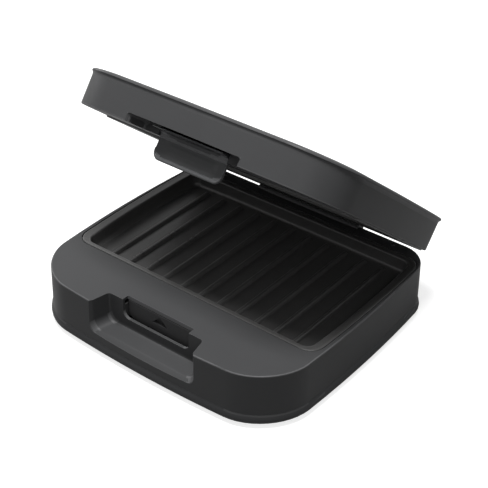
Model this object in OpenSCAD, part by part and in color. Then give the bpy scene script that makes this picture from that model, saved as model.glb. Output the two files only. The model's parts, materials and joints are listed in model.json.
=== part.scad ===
// Compact two-slice sandwich toaster with ribbed plates and a front latch.
// Both halves are drawn in one closed frame: x to the right, y to the back, z up
// from the base's parting plane, with the middle of the casing at x = y = 0.
// The base is then lifted onto its feet, and the lid is swung open about its hinge.

/* [Casing] */
// Width of the casings where their bowed sides end
body_w = 240; // [232:1:252]
// Depth of the casings without the bow of the front
body_d = 212.4; // [208:0.2:220]
// How far the front bows out at its middle
front_crown = 6.6; // [4:0.2:9]
// How far each side bows out at its middle
side_crown = 5.2; // [4:0.2:8]
// Radius of the front corners in plan
front_r = 40; // [34:1:46]
// Radius of the rear corners in plan
rear_r = 22.4; // [18:0.2:26]
// Height of the base from its underside to the parting plane
base_h = 44; // [42:0.5:54]
// Height of the lid above its own parting plane
lid_h = 29.6; // [28.6:0.2:38]
// Gap between the two casings when the lid is shut
lid_gap = 1.5; // [1.4:0.1:2]
// Wall thickness of the casings
wall = 2.5; // [2:0.1:3]
// Outward lean of the walls away from the parting plane, in degrees
lean = 0.92; // [0.5:0.02:1.3]
// Rounding of the casing edges at the parting plane
edge_r = 1; // [0.6:0.1:1.4]

/* [Covers] */
// Height of the base cover's rounded edge
base_cover_h = 8; // [7:0.5:9]
// How far the base cover stands out past the wall
base_lip = 1.5; // [1:0.1:2]
// Height of the lid cover's rounded edge
lid_cover_h = 6; // [5.4:0.2:7]
// How far the lid cover stands out past the wall
lid_lip = 1.4; // [1:0.1:2]
// Thickness of both covers' flat parts
cover_t = 2.2; // [2:0.1:2.6]
// Rise of the lid cover's gentle dome
dome_rise = 1.4; // [0.8:0.1:2]
// Length of each ventilation slot in the base cover
vent_l = 30; // [20:1:36]
// Width of each ventilation slot
vent_w = 2.6; // [2:0.1:3.2]
// Distance from one ventilation slot to the next
vent_pitch = 7; // [6:0.2:8]
// Distance of the two rows of slots from the middle
vent_y = 44; // [38:1:46]

/* [Grill plates] */
// Width of the deck beside the plates, at the casing's ends
side_deck = 0.4; // [0.3:0.1:3]
// Width of the deck in front of the plates
front_deck = 49.8; // [48:0.2:58]
// Width of the deck behind the plates
back_deck = 12.2; // [12:0.2:18]
// How far the rims bow out at the sides
plate_crown = 2.2; // [1:0.1:2.6]
// Radius of the rims' corners in plan
plate_r = 12.3; // [11:0.1:16]
// Width of the rim's flat band at the sides
rim_side = 7.5; // [6.5:0.1:9]
// Width of the rim's flat band at the front and back
rim_front = 5; // [4.8:0.1:6]
// Thickness of the rim
rim_t = 2.2; // [1.8:0.1:2.6]
// Wall thickness of the plates
plate_t = 2.2; // [1.8:0.1:2.3]
// Depth of the lower plate's hollow
lower_depth = 12.5; // [11:0.5:14]
// Depth of the upper plate's hollow
upper_depth = 8; // [6:0.5:9]
// How far the upper plate's rim stands proud of the lid
upper_proud = 1.25; // [0.8:0.05:1.25]
// Distance from one rib to the next
rib_pitch = 18.4; // [14:0.2:22]
// Height of the ribs
rib_h = 2.6; // [1.6:0.1:3.4]
// Width of the ribs at their foot
rib_w = 5; // [4:0.1:6]

/* [Heating] */
// Radius of the tubular heaters
heater_r = 3.3; // [3:0.1:3.6]
// Distance of the heater loop inside the plates' rims at the sides
heater_side = 31.6; // [30:0.2:40]
// Distance of the heater loop inside the plates' rims at the front and back
heater_front = 27.2; // [26:0.2:36]
// Bend radius of the heater loop's corners
heater_bend = 20; // [14:1:26]
// Half the distance between the heater's two ends
heater_end = 13; // [12:0.5:16]
// Sheet thickness of the reflectors
sheet = 0.7; // [0.5:0.1:1]
// Radius of the thermostat's body
thermostat_r = 8; // [7:0.2:9]
// Height of the thermostat's body
thermostat_h = 10; // [9:0.5:12]
// Radius of the thermal fuse's sleeve
fuse_r = 2.2; // [1.8:0.1:2.6]
// Length of the thermal fuse's sleeve
fuse_l = 22; // [18:1:26]
// Distance of the thermal fuse right of the middle
fuse_x = 30; // [24:1:36]
// Radius of the insulated leads
lead_r = 1.1; // [0.9:0.1:1.3]
// Distance between the terminal block's poles
pole_pitch = 11; // [10:0.5:13]
// Depth of the terminal block, front to back
block_d = 16; // [14:1:18]
// Height of the terminal block
block_h = 11; // [10:0.5:12]
// Distance of the terminal block in front of the rear wall
block_back = 36; // [30:1:40]

/* [Front grip] */
// Width of the finger recess at the front
notch_w = 100; // [90:1:106]
// Depth of the finger recess from the front
notch_d = 19; // [17:0.5:21]
// Height of the recess in the base, below the parting plane
notch_h = 26; // [24:0.5:28]
// Height of the recess in the lid, above its parting plane
notch_lid_h = 7.8; // [7.7:0.1:9]
// Width of the latch pocket behind the recess
pocket_w = 66; // [60:0.5:72]
// Depth of the latch pocket, from the recess to its back edge
pocket_d = 6.4; // [6.2:0.1:7.4]
// Height of the pocket's window below the parting plane
pocket_h = 17; // [16.6:0.1:18.4]

/* [Latch] */
// Distance of the latch's face behind the back of the recess
latch_inset = 2.2; // [1.8:0.1:2.6]
// Thickness of the latch
latch_t = 2.4; // [2:0.1:2.6]
// How far the latch hangs below the lid's parting plane
latch_drop = 17.3; // [15.8:0.1:17.5]
// Gap between the latch and the sides of its pocket
latch_gap = 1.5; // [0.6:0.1:2]
// How far the finger lever reaches forward of the latch's face
lever_reach = 12.8; // [9:0.2:13.4]
// How far the lever's lip stands out past the latch's sides
lever_flare = 1.2; // [0.4:0.1:2]
// Height of the latch's pivot above the lid's parting plane
latch_z = 4.5; // [4.2:0.1:4.8]
// Radius of the latch's pivot eye
eye_r = 3; // [2.8:0.1:3]
// Radius of the latch pin
latch_pin_r = 1.25; // [1:0.05:1.4]
// Length of the latch spring's coil
spring_l = 8; // [6:0.5:9]
// Radius of the latch spring's wire
spring_wire = 0.32; // [0.25:0.01:0.35]
// How far the latch's hook stands out behind it
hook_reach = 1.7; // [1.4:0.1:1.8]
// Radial clearance of the pins that turn
run_gap = 0.06; // [0.03:0.01:0.09]
// Half width of the catch's triangular window
catch_w = 7.8; // [6:0.2:9]
// Distance of the window's top corner below the parting plane
catch_top = 5.2; // [4.8:0.1:6]
// Height of the window
catch_h = 7.1; // [6:0.1:8]

/* [Hinge] */
// Drop of the hinge axis below the base's parting plane
hinge_drop = 1.8; // [1.4:0.1:2.2]
// Radius of the hinge barrel and its ears
hinge_r = 5; // [4.8:0.1:5.4]
// Width of the lid's hinge barrel
barrel_w = 84; // [76:1:90]
// Width of each ear beside the barrel
ear_w = 10; // [8:0.5:12]
// Radius of the hinge pins
pin_r = 2; // [1.8:0.1:2.4]
// Distance of the lid's rests inside the base's sides
rest_side = 32; // [30:0.5:36]
// Height of the lid's rests above the base's deck
rest_h = 1.1; // [0.7:0.1:1.2]
// Angle of the lid from shut to the pose drawn, in degrees
lid_angle = 38.15; // [0:0.05:100]

/* [Feet, gland and fasteners] */
// Height of the feet below the base cover
foot_h = 3.5; // [3:0.1:5]
// Radius of the feet
foot_r = 7; // [6:0.2:8]
// Distance of the feet inside the casing's sides
foot_side = 34; // [30:1:44]
// Distance of the feet inside the casing's front and back
foot_front = 46; // [42:1:56]
// Bore radius of the cord gland
gland_bore = 3.4; // [3:0.1:4]
// Distance of the cord gland left of the middle
gland_x = 24; // [12:1:28]
// Distance of the cord gland below the parting plane
gland_z = 22; // [20:0.5:23.5]
// Radius of the screws' shanks
screw_r = 1.5; // [1.3:0.1:1.6]
// Radius of the screws' heads
head_r = 3.2; // [3:0.1:3.4]
// Height of the screws' heads
head_h = 2; // [1.8:0.1:2.2]
// Length of the screws that hold the base cover
base_screw_l = 16; // [12:1:18]
// Length of the screws that hold the lid housing
lid_screw_l = 14; // [11:1:15]
// Length of the screws that hold the reflectors
pan_screw_l = 7.2; // [6:0.1:7.2]
// Distance of the front casing screws inside the casing's sides
post_side = 28; // [26:1:34]
// Distance of the front casing screws inside the casing's front
post_front = 26; // [22:1:30]
// Distance of the rear casing screws inside the casing's sides
post_back_side = 36; // [34:1:42]
// Radius of the indicator lenses
lens_r = 3.2; // [2.6:0.1:4]
// Half the distance between the indicator lenses
lens_x = 9; // [7:0.5:12]
// Distance of the indicator lenses behind the lid's front edge
lens_inset = 28.8; // [24:0.2:38]
// Width of the lamp board
board_w = 56; // [50:1:62]
// Depth of the lamp board
board_d = 14; // [12:1:16]
// Distance of the lamp board below the lid's flat top
board_drop = 8; // [7.6:0.2:8.6]

/* [Hidden] */

fit = 0.3;                       // clearance between pieces that only sit together
seam = 0.4;                      // visible gap round the plates
eps = 0.05;                      // clearance between faces that touch
cut = 1;                         // how far cuts run past the faces they open
post_r = 4;                      // radius of the screw posts
boss_r = 5.5;                    // radius of the screw seats round the heads
seat_t = 2;                      // material left under a screw's head
ledge_in = 1.7;                  // how far the ledge reaches under the rims' front and back
ledge_side = 2.7;                // how far the ledge reaches under the rims' sides
ledge_out = 2;                   // how far the ledge reaches out past the seam
ledge_t = 2.4;                   // thickness of the ledge
floor_r = 4.2;                   // rounding of the plates' hollow at its floor
rib_end = 2;                     // flat floor left at the ends of the ribs
strap_t = 0.8;                   // thickness of the thermal fuse's strap
board_t = 1.4;                   // thickness of the lamp board
rest_r = 1.5;                    // radius of the lid's rests
window_d = 3;                    // depth of the catch's blind window
barb = 1.6;                      // height of the feet's barbs

plate_w = body_w - 2 * side_deck;
plate_d = body_d - front_deck - back_deck;
plate_y = (front_deck - back_deck) / 2;
heater_x = plate_w / 2 - heater_side;
heater_y = plate_d / 2 - heater_front;
foot_x = body_w / 2 - foot_side;
foot_y = body_d / 2 - foot_front;
front_y = -body_d / 2 - front_crown;
notch_y = front_y + notch_d;
receiver_screw_x = pocket_w / 2 + 5.4;
receiver_screw_z = -12.5;
pocket_y = notch_y + pocket_d;
latch_face = notch_y + latch_inset;
latch_back = latch_face + latch_t;
latch_y = latch_back + 0.7;
panel_y = latch_back + 0.6;
latch_w = pocket_w - 2 * latch_gap;
hinge_y = body_d / 2;
rest_y = hinge_y - back_deck / 2;
hinge_z = -hinge_drop;
post_back_y = body_d / 2 - wall - post_r - fit;
posts = [
    [post_side - body_w / 2, post_front - body_d / 2],
    [body_w / 2 - post_side, post_front - body_d / 2],
    [post_back_side - body_w / 2, post_back_y],
    [body_w / 2 - post_back_side, post_back_y]
];
heater_drop = plate_t + eps + heater_r;
heater_turn = heater_r + 2.2;    // bend radius of the heater's ends
heater_tip = heater_turn + 5;    // how far the heater's pins reach past its loop
pin_in = 6;                      // how far a hinge pin reaches into the barrel
pin_out = ear_w - 2;             // how far a hinge pin reaches into its ear
lens_y = body_d / 2 + front_crown - lens_inset;
block_y = body_d / 2 - block_back;
end_y = heater_end - heater_turn;
boss_x = heater_x + 12;
boss_y = heater_y + 10;
plate_bosses = [for (sx = [-1, 1]) for (sy = [-1, 1]) [sx * boss_x, plate_y + sy * boss_y]];

function flare(z) = tan(lean) * abs(z);

// Profiles of the two covers' edges, as heights and distances past the casing's outline
base_profile = [
    [-base_h, flare(base_h) - 1.4],
    [-base_h + 0.5, flare(base_h) + base_lip - 1],
    [-base_h + 1.5, flare(base_h) + base_lip - 0.2],
    [-base_h + 3, flare(base_h) + base_lip],
    [-base_h + 5, flare(base_h) + base_lip - 0.3],
    [-base_h + 6.6, flare(base_h) + 0.4],
    [-base_h + base_cover_h, flare(base_h - base_cover_h)]
];
lid_profile = [
    [lid_h - lid_cover_h, flare(lid_h - lid_cover_h)],
    [lid_h - 4.6, flare(lid_h) + 0.05 * lid_lip],
    [lid_h - 3.8, flare(lid_h) + 0.25 * lid_lip],
    [lid_h - 3.1, flare(lid_h) + 0.7 * lid_lip],
    [lid_h - 2.5, flare(lid_h) + lid_lip],
    [lid_h - 1.7, flare(lid_h) + lid_lip - 0.1],
    [lid_h - 1, flare(lid_h) + lid_lip - 0.6],
    [lid_h - 0.7, flare(lid_h) + lid_lip - 1.5]
];

// The drawn pose's front and back ends, which set the origin halfway between them
front_end = min([for (q = base_profile) front_y - q[1]]);
back_end = max([for (q = lid_profile)
    hinge_y + (body_d / 2 + q[1] - hinge_y) * cos(lid_angle)
    + (lid_gap + q[0] - hinge_z) * sin(lid_angle)]);
centre_y = -(front_end + back_end) / 2;

// ---------------------------------------------------------------- outlines

function last(v) = v[len(v) - 1];
function arc_points(c, r, from, n) =
    [for (i = [0:n]) c + r * [cos(from + 90 * i / n), sin(from + 90 * i / n)]];
function between(a, b, n) = [for (i = [1:1:n - 1]) a + (b - a) * i / n];

// A rounded rectangle, counter-clockwise from its front right corner
function round_rect(hw, hd, rf, rr, nf, nr, nx, ny) = let (
    a = arc_points([hw - rf, rf - hd], rf, 270, nf),
    b = arc_points([hw - rr, hd - rr], rr, 0, nr),
    c = arc_points([rr - hw, hd - rr], rr, 90, nr),
    d = arc_points([rf - hw, rf - hd], rf, 180, nf)
) concat(a, between(last(a), b[0], ny), b, c, between(last(c), d[0], ny), d,
    between(last(d), a[0], nx));

// Bows the sides and the front of an outline outwards
function bowed(pts, hw, hd, front, side) = [for (p = pts)
    let (u = p.x / hw, v = p.y / hd)
    [p.x + sign(u) * side * (1 - v * v) * u * u,
     p.y - front * (1 - u * u) * pow(max(0, -v), 2)]];

// The casing's outline, moved out by off
function casing(off) = let (
    hw = body_w / 2 + off,
    hd = body_d / 2 + off,
    pts = round_rect(hw, hd, max(2, front_r + off), max(2, rear_r + off), 12, 7, 14, 8)
) bowed(pts, hw, hd, front_crown, side_crown);

// A grill plate's outline, moved in by ex at the sides and ey at the front and back
function plate_outline(ex, ey) = let (
    hw = plate_w / 2 - ex,
    hd = plate_d / 2 - ey,
    r = max(3, plate_r - min(ex, ey))
) [for (p = bowed(round_rect(hw, hd, r, r, 7, 7, 1, 6), hw, hd, 0, plate_crown))
    p + [0, plate_y]];

function at_z(pts, z) = [for (p = pts) [p.x, p.y, z]];
function at_y(pts, y) = [for (p = pts) [p.x, y, p.y]];

// The finger recess seen from the front: straight sides and rounded lower corners
function recess(hw, low, r, top) = let (
    d = arc_points([r - hw, low + r], r, 180, 6),
    a = arc_points([hw - r, low + r], r, 270, 6)
) concat([[-hw, top]], d, a, [[hw, top]]);

// A closed skin through rings of points, counter-clockwise seen from the last ring
module skin(rings) {
    n = len(rings[0]);
    m = len(rings);
    polyhedron(
        points = [for (ring = rings) each ring],
        faces = concat(
            [[for (i = [0:n - 1]) i]],
            [for (k = [0:m - 2]) for (i = [0:n - 1]) each let (
                a = k * n + i,
                b = k * n + (i + 1) % n
            ) [[a, a + n, b + n], [a, b + n, b]]],
            [[for (i = [n - 1:-1:0]) (m - 1) * n + i]]
        )
    );
}

// Stacks the casing's outline through [height, distance] pairs
module casing_skin(profile) {
    skin([for (q = profile) at_z(casing(q[1]), q[0])]);
}

// A flat plate of an outline from one height to another
module slab(pts, low, high) {
    translate([0, 0, low]) linear_extrude(high - low) polygon(pts);
}

// Turns a drawing in the y-z plane into a bar that runs along x
module along_x(length) {
    rotate([90, 0, 90]) linear_extrude(length, center = true) children();
}

module x_rod(r, length, y, z) {
    translate([0, y, z]) rotate([0, 90, 0]) cylinder(r = r, h = length, center = true, $fn = 48);
}

module base_frame() {
    translate([0, centre_y, foot_h + base_h]) children();
}

module lid_frame() {
    base_frame() translate([0, hinge_y, hinge_z]) rotate([-lid_angle, 0, 0])
        translate([0, -hinge_y, lid_gap - hinge_z]) children();
}

// ---------------------------------------------------------------- shared pieces

// A pan-head screw that points up, with its head's underside at z = 0
module screw(length) {
    translate([0, 0, -head_h]) difference() {
        rotate_extrude($fn = 32) polygon([
            [0, 0], [0.7 * head_r, 0], [head_r, 0.35 * head_h], [head_r, head_h], [0, head_h]
        ]);
        for (a = [0, 90]) rotate([0, 0, a])
            cube([1.3 * head_r, 0.7, head_h], center = true);
    }
    cylinder(r = screw_r, h = length - 1, $fn = 24);
    translate([0, 0, length - 1]) cylinder(r1 = screw_r, r2 = 0.5, h = 1, $fn = 24);
}

// The recess's hollow, lofted from its back to past the casing's front,
// or with grow the moulded wall round it
module notch(low, corner, top, grow, flare_out) {
    back = notch_y + grow;
    half = notch_w / 2 + grow;
    soft = grow > 0 ? 0 : 1;
    skin([
        at_y(recess(half - 2.7 - 2.4 * soft, low + 2.6 * soft, corner, top), back),
        at_y(recess(half - 2.6 - 0.8 * soft, low + 0.8 * soft, corner, top), back - 0.8),
        at_y(recess(half - 2.4, low, corner, top), back - 2.8),
        at_y(recess(half, low, corner, top), front_y + 4.6),
        at_y(recess(half + 0.7 * soft, low - 0.35 * flare_out, corner, top), front_y + 3),
        at_y(recess(half + 2.4 * soft, low - flare_out, corner, top), front_y + 1.2),
        at_y(recess(half + 7 * soft, low - 2.4 * flare_out, corner, top), front_y - 3)
    ]);
}

// A die-cast grill plate, hollow side up, with its rim's top edge at z = 0
module grill_plate(depth) {
    top = rim_t - 0.4;
    difference() {
        union() {
            skin([
                at_z(plate_outline(rim_side + floor_r - 0.6, rim_front + floor_r - 0.6),
                     -depth - plate_t),
                at_z(plate_outline(rim_side - plate_t + 1.8, rim_front - plate_t + 1.8),
                     -depth - plate_t + 2.6),
                at_z(plate_outline(rim_side - plate_t, rim_front - plate_t), -rim_t),
                at_z(plate_outline(0, 0), -rim_t),
                at_z(plate_outline(0, 0), top - rim_t),
                at_z(plate_outline(0.4, 0.4), 0)
            ]);
            for (p = plate_bosses) translate([p.x, p.y, eps - pan_depth(depth)])
                cylinder(r = boss_r - 1, h = pan_depth(depth) - depth - plate_t / 2, $fn = 32);
        }
        difference() {
            skin([
                at_z(plate_outline(rim_side + floor_r, rim_front + floor_r), -depth),
                at_z(plate_outline(rim_side + 2.2, rim_front + 2.2), -depth + 0.9),
                at_z(plate_outline(rim_side + 1.3, rim_front + 1.3), -depth + 3),
                at_z(plate_outline(rim_side + 0.3, rim_front + 0.3), -1.2),
                at_z(plate_outline(rim_side, rim_front), -0.5),
                at_z(plate_outline(1.2, 1.2), 0.02),
                at_z(plate_outline(1.2, 1.2), cut)
            ]);
            ribs(depth);
        }
        for (p = plate_bosses) translate([p.x, p.y, -pan_depth(depth) - cut])
            cylinder(r = screw_r + fit / 3, h = 6.8 + cut, $fn = 24);
    }
}

// Distance from the top of a plate's rim to the inside of its reflector's floor
function pan_depth(depth) = depth + 2 * heater_drop - plate_t + fit;

// The ribs that mark the bread, running front to back
module ribs(depth) {
    length = plate_d - 2 * (rim_front + floor_r + rib_end);
    count = floor((plate_w / 2 - rim_side - floor_r - rib_w) / rib_pitch);
    for (i = [-count:count]) translate([i * rib_pitch, plate_y, -depth - 0.5])
        skin([
            for (q = [[0, rib_w + 0.4, length], [rib_h + 0.1, 0.5 * rib_w, length - 3],
                [rib_h + 0.5, 0.32 * rib_w, length - 5]])
                [[q[1] / 2, -q[2] / 2, q[0]], [q[1] / 2, q[2] / 2, q[0]],
                 [-q[1] / 2, q[2] / 2, q[0]], [-q[1] / 2, -q[2] / 2, q[0]]]
        ]);
}

// A quarter bend of the heater tube in the x-y plane, about its own centre
module bend(radius, from) {
    rotate([0, 0, from]) rotate_extrude(angle = 90, $fn = 64)
        translate([radius, 0]) circle(r = heater_r, $fn = 24);
}

// The tubular heater under a plate: a loop whose two ends turn away from the plate
module heater(depth) {
    turn = heater_turn;
    translate([0, plate_y, -depth - heater_drop]) {
        for (s = [-1, 1]) {
            translate([0, s * heater_y, 0]) rotate([0, 90, 0])
                cylinder(r = heater_r, h = 2 * (heater_x - heater_bend), center = true, $fn = 24);
            translate([heater_x, s * heater_end, 0]) rotate([-90 * s, 0, 0])
                cylinder(r = heater_r, h = heater_y - heater_bend - heater_end, $fn = 24);
            translate([heater_x, s * heater_end, -turn]) rotate([0, 90, 0])
                rotate([0, 0, s > 0 ? 90 : 180]) bend(turn, s > 0 ? 90 : 0);
            translate([heater_x, s * (heater_end - turn), -turn - 2])
                cylinder(r = heater_r, h = 2, $fn = 24);
            translate([heater_x, s * (heater_end - turn), -heater_tip])
                cylinder(r = 1.1, h = 4, $fn = 24);
        }
        translate([-heater_x, 0, 0]) rotate([90, 0, 0])
            cylinder(r = heater_r, h = 2 * (heater_y - heater_bend), center = true, $fn = 24);
        for (c = [[1, 1, 0], [-1, 1, 90], [-1, -1, 180], [1, -1, 270]])
            translate([c[0] * (heater_x - heater_bend), c[1] * (heater_y - heater_bend), 0])
                bend(heater_bend, c[2]);
    }
}

// The pressed sheet pan that closes the plate's underside and clamps it to the casing
module reflector(depth, flange_z, hole_r) {
    low = -pan_depth(depth) - sheet;
    inner = -plate_t + 0.35;
    difference() {
        union() {
            slab(plate_outline(ledge_side - 1.5, ledge_in - 1.5), flange_z - sheet, flange_z);
            slab(plate_outline(rim_side + inner - sheet, rim_front + inner - sheet),
                 low, flange_z - sheet / 2);
        }
        slab(plate_outline(rim_side + inner, rim_front + inner), low + sheet, flange_z + cut);
        translate([heater_x, plate_y, low - cut])
            linear_extrude(2 * cut + sheet)
            square([2 * heater_r + 2, 2 * (heater_end + heater_r) + 2], center = true);
        for (p = plate_bosses) translate([p.x, p.y, low - cut])
            cylinder(r = screw_r + fit, h = 2 * cut + sheet, $fn = 24);
        if (hole_r > 0) translate([0, plate_y, low - cut])
            cylinder(r = hole_r, h = 2 * cut + sheet, $fn = 48);
    }
}

// The screws that pull a reflector up to its plate
module plate_screws(depth) {
    for (p = plate_bosses) translate([p.x, p.y, -pan_depth(depth) - sheet - eps])
        screw(pan_screw_l);
}

// A tube of eight sides along a list of points
module lead(points, r) {
    n = 8;
    m = len(points);
    function toward(i) = let (v = points[min(i + 1, m - 1)] - points[max(i - 1, 0)]) v / norm(v);
    function side(t) = let (s = cross(t, abs(t.z) > 0.8 ? [1, 0, 0] : [0, 0, 1])) s / norm(s);
    skin([for (i = [0:m - 1]) let (t = toward(i), s = side(t), u = cross(t, s))
        [for (k = [0:n - 1]) points[i] + r * (cos(360 * k / n) * s + sin(360 * k / n) * u)]]);
}

// ---------------------------------------------------------------- base

module lower_housing() {
    low = -base_h + base_cover_h;
    color("#3b3b3c") base_frame() difference() {
        union() {
            difference() {
                casing_skin([
                    [low, flare(low)], [-edge_r, flare(edge_r)],
                    [-0.3 * edge_r, -0.3 * edge_r], [0, -edge_r]
                ]);
                casing_skin([[low - cut, flare(low) - wall], [-wall, -wall]]);
            }
            intersection() {
                casing_skin([[low, flare(low)], [-edge_r / 2, 0]]);
                union() {
                    notch(-notch_h - wall, 7 + wall, -wall / 2, wall, 0);
                    slab(plate_outline(-ledge_out - seam, -ledge_out - seam),
                         -rim_t - ledge_t, -wall / 2);
                    for (p = posts) translate([p.x, p.y, low])
                        cylinder(r = post_r, h = -low - wall / 2, $fn = 32);
                    x_rod(hinge_r + fit + 1.8, barrel_w + 4, hinge_y, hinge_z);
                }
            }
            // rests that the lid would meet first, and the hinge's ears
            for (s = [-1, 1]) translate([s * (body_w / 2 - rest_side), rest_y, -wall / 2])
                cylinder(r = rest_r, h = rest_h + wall / 2, $fn = 32);
            for (s = [-1, 1]) translate([s * (barrel_w + ear_w + 2 * fit) / 2, 0, 0]) {
                x_rod(hinge_r, ear_w, hinge_y, hinge_z);
                along_x(ear_w) polygon([
                    [hinge_y - wall / 2, hinge_z], [hinge_y + hinge_r, hinge_z],
                    [hinge_y + 0.93 * hinge_r, hinge_z - 0.4 * hinge_r],
                    [hinge_y + flare(20) - 0.2, hinge_z - 4 * hinge_r],
                    [hinge_y - wall / 2, hinge_z - 4 * hinge_r]
                ]);
            }
        }
        // finger recess, latch pocket and plate opening
        notch(-notch_h, 7, cut, 0, 2);
        along_x(pocket_w) polygon([
            [notch_y - cut, cut], [pocket_y, cut], [pocket_y, 0],
            [panel_y - eps, -wall - 0.6], [panel_y - eps, -wall - cut - 2],
            [notch_y - cut, -wall - cut - 2]
        ]);
        skin([
            at_y(recess(pocket_w / 2, -pocket_h, 6, -cut), notch_y + wall + cut),
            at_y(recess(pocket_w / 2, -pocket_h, 6, -cut), notch_y - cut)
        ]);
        slab(plate_outline(-seam, -seam), -rim_t - 2 * eps, cut);
        slab(plate_outline(ledge_side, ledge_in), -rim_t - ledge_t - cut, cut);
        // hinge trough and pin holes
        x_rod(hinge_r + fit, barrel_w + 2 * fit, hinge_y, hinge_z);
        x_rod(pin_r + 0.02, barrel_w + 2 * (fit + pin_out), hinge_y, hinge_z);
        // screw holes and the cord gland's hole
        for (p = posts) translate([p.x, p.y, low])
            cylinder(r = screw_r + fit / 3, h = 18, $fn = 24);
        for (s = [-1, 1])
            translate([s * receiver_screw_x, notch_y + wall + cut, receiver_screw_z])
            rotate([90, 0, 0]) cylinder(r = screw_r + fit / 3, h = cut + 1.7, $fn = 24);
        translate([-gland_x, body_d / 2 - 2 * wall, -gland_z])
            rotate([-90, 0, 0]) cylinder(r = gland_bore + 3.2, h = 4 * wall, $fn = 48);
    }
}

module base_cover() {
    low = -base_h + cover_t;
    top = -base_h + base_cover_h;
    ring = flare(top) - wall - fit;
    color("#2f2f30") base_frame() difference() {
        union() {
            difference() {
                casing_skin(base_profile);
                slab(casing(flare(top) - wall), low, top + cut);
            }
            difference() {
                slab(casing(ring), low - eps, top + 3);
                slab(casing(ring - 1.6), low - cut, top + 3 + cut);
            }
            for (p = posts) translate([p.x, p.y, -base_h + cover_t / 2])
                cylinder(r = boss_r, h = base_cover_h - cover_t / 2 - eps, $fn = 32);
        }
        for (p = posts) translate([p.x, p.y, 0]) {
            translate([0, 0, -base_h - cut])
                cylinder(r = head_r + fit, h = base_cover_h - seat_t + cut, $fn = 32);
            translate([0, 0, -base_h]) cylinder(r = screw_r + 0.5, h = base_cover_h + cut, $fn = 24);
            // room for the housing's post, which stands on the screw's seat
            translate([0, 0, top - eps / 2]) cylinder(r = post_r + fit, h = 4, $fn = 32);
        }
        for (sx = [-1, 1]) for (sy = [-1, 1]) translate([sx * foot_x, sy * foot_y, -base_h - cut]) {
            cylinder(r = foot_r + fit, h = cut + 0.8, $fn = 40);
            cylinder(r = foot_r / 3 + fit, h = 2 * cut + cover_t, $fn = 24);
        }
        for (s = [-1, 1]) for (i = [-4:4])
            translate([i * vent_pitch, s * vent_y, low]) vent_slot();
    }
}

// One ventilation slot with round ends, cut through the base cover
module vent_slot() {
    h = 4 * cover_t;
    cube([vent_w, vent_l - vent_w, h], center = true);
    for (s = [-1, 1]) translate([0, s * (vent_l - vent_w) / 2, -h / 2])
        cylinder(r = vent_w / 2, h = h, $fn = 24);
}

// Moulded insert behind the recess: the catch's panel with its blind window,
// held by two wings that join the panel from behind
module latch_receiver() {
    low = -pocket_h - 2.2;
    join_y = panel_y + 1.5;
    wing_y = notch_y + wall + eps;
    wing_w = 10;
    wing_h = 13;
    web_x = pocket_w / 2 + 1.6;
    color("#29292a") base_frame() difference() {
        union() {
            skin([
                at_y(recess(latch_w / 2, low, 6, -wall - 0.7), panel_y + 2),
                at_y(recess(latch_w / 2, low, 6, -wall - 0.7), panel_y)
            ]);
            for (s = [0, 1]) mirror([s, 0, 0]) {
                // the strip behind the panel's edge, the web beside it, and the wing
                translate([latch_w / 2 - 6, join_y, -wing_h - 6])
                    cube([web_x - latch_w / 2 + 6, 2, wing_h]);
                translate([web_x - 2, wing_y, -wing_h - 6])
                    cube([2, join_y + 2 - wing_y, wing_h]);
                translate([web_x - 2, wing_y, -wing_h - 6]) cube([wing_w, 2, wing_h]);
            }
            translate([-catch_w - 2, panel_y + 1, -catch_top - catch_h - 2])
                cube([2 * catch_w + 4, window_d + 0.6, catch_h + 3.8]);
        }
        translate([0, panel_y + window_d, 0]) rotate([90, 0, 0]) linear_extrude(window_d + cut)
            polygon([[-catch_w, -catch_top - catch_h], [catch_w, -catch_top - catch_h],
                [0, -catch_top]]);
        for (s = [-1, 1]) translate([s * receiver_screw_x, wing_y + 3, receiver_screw_z])
            rotate([90, 0, 0]) cylinder(r = screw_r + fit, h = 4, $fn = 24);
    }
}

module receiver_screws() {
    color("#8f9194") base_frame() for (s = [-1, 1])
        translate([s * receiver_screw_x, notch_y + wall + 2 + 2 * eps, receiver_screw_z])
        rotate([90, 0, 0]) screw(3.4);
}

module lower_plate_frame() {
    base_frame() translate([0, 0, -eps]) children();
}

module lower_grill_plate() {
    color("#4a4a4b") lower_plate_frame() grill_plate(lower_depth);
}

module lower_heater() {
    color("#77726a") lower_plate_frame() heater(lower_depth);
}

module lower_reflector() {
    color("#b9bbbd") lower_plate_frame()
        reflector(lower_depth, -rim_t - ledge_t, thermostat_r + 1);
}

module lower_plate_screws() {
    color("#8f9194") lower_plate_frame() plate_screws(lower_depth);
}

// Snap-disc thermostat pressed against the middle of the lower plate
module thermostat() {
    top = -lower_depth - plate_t - 2 * eps;
    color("#d8d4c8") base_frame() translate([0, plate_y, top]) {
        translate([0, 0, -1.6]) cylinder(r = thermostat_r, h = 1.6, $fn = 48);
        translate([0, 0, 1 - thermostat_h])
            cylinder(r = thermostat_r - 1.4, h = thermostat_h - 2, $fn = 48);
        translate([0, 0, -thermostat_h]) cylinder(r = 2.2, h = 2, $fn = 32);
        for (s = [-1, 1]) {
            translate([s * (thermostat_r - 2) - 1.8, -0.4, 2 - thermostat_h - 8])
                cube([3.6, 0.8, 9]);
        }
    }
}

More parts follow.
